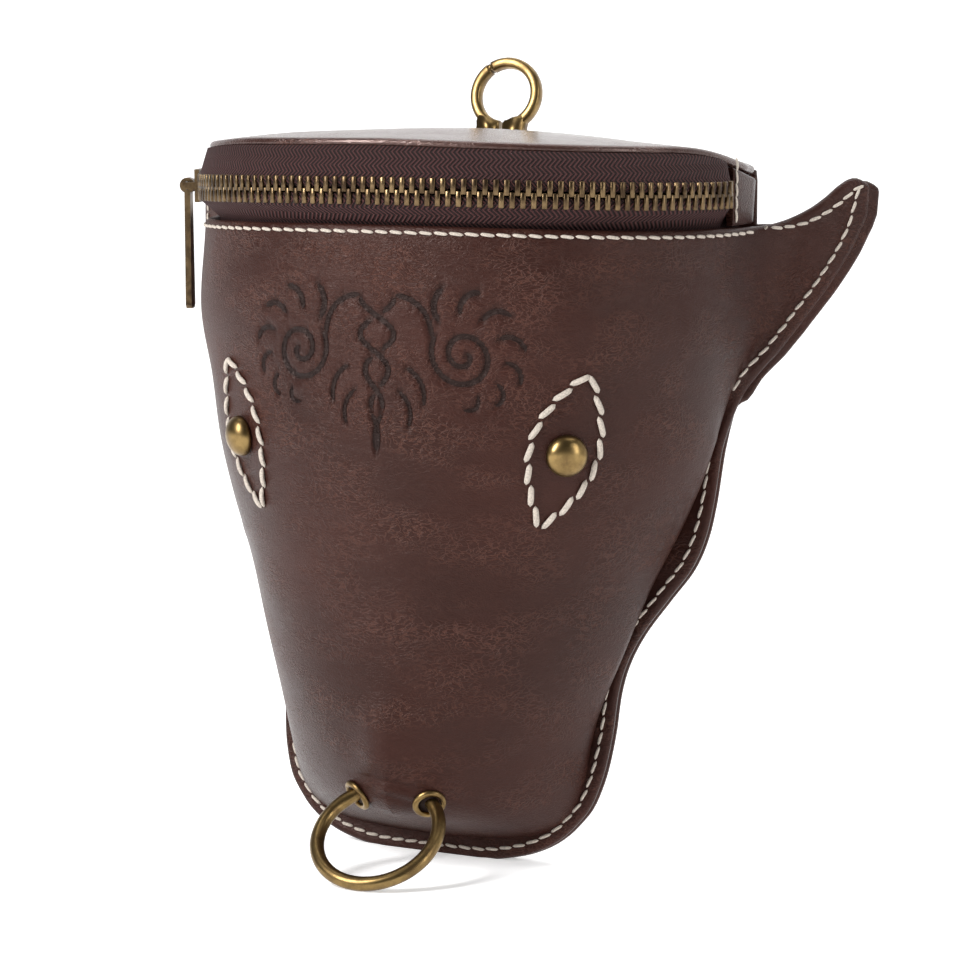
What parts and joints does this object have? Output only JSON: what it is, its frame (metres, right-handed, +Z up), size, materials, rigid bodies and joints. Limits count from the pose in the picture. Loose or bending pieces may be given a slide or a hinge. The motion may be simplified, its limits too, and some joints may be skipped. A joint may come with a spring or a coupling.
{
  "type": "belt pouch",
  "caption": "Brown leather belt pouch shaped like a horned bull's head, with a curved metal zip under a level lid, brass eye studs, a nose ring and a hinged hanging ring behind the lid.",
  "frame": {"origin": "middle of the bounding box on the floor, under the pouch as it stands on the foot of its flange", "axes": "+X to the pouch's right as seen from the front, +Y towards its back, +Z up; the front with the eyes faces -Y"},
  "size_m": [0.1848, 0.097, 0.1974],
  "materials": {
    "leather": "dark brown smooth grained leather, half gloss, dark painted edges",
    "tape": "dark brown woven zip tape, matt",
    "zip_brass": "antique brass, darkened in the recesses",
    "old_brass": "antique brass, worn bright on the high spots"
  },
  "bodies": {
    "root": {"front_panel": "leather", "back_panel": "leather", "lid": "leather", "zip_end_right": "leather", "zip_end_left": "leather", "hanger": "leather", "zip_tape_upper": "tape", "zip_tape_lower": "tape", "zip_teeth_upper": "zip_brass", "zip_teeth_lower": "zip_brass", "zip_slider": "zip_brass", "eye_stud_right": "old_brass", "eye_stud_left": "old_brass", "eyelet_right": "old_brass", "eyelet_left": "old_brass", "snap_ring": "old_brass"},
    "nose_ring": {"nose_ring": "old_brass"},
    "snap_gate": {"snap_gate": "old_brass"},
    "zip_pull": {"zip_pull": "zip_brass"}
  },
  "joints": [
    {"name": "nose_ring_swing", "type": "hinge", "parent": "root", "child": "nose_ring", "pos_m": [0, -0.02605, 0.01816], "axis": [1, 0, 0], "range_deg": [-35, 35]},
    {"name": "snap_gate_swing", "type": "hinge", "parent": "root", "child": "snap_gate", "pos_m": [-0.0074, 0.0401, 0.19433], "axis": [0, 0.9842, -0.1771], "range_deg": [0, 40]},
    {"name": "zip_pull_swing", "type": "hinge", "parent": "root", "child": "zip_pull", "pos_m": [-0.07204, -0.00209, 0.16247], "axis": [-0.3036, 0.9507, 0.0631], "range_deg": [-5, 110]}
  ]
}
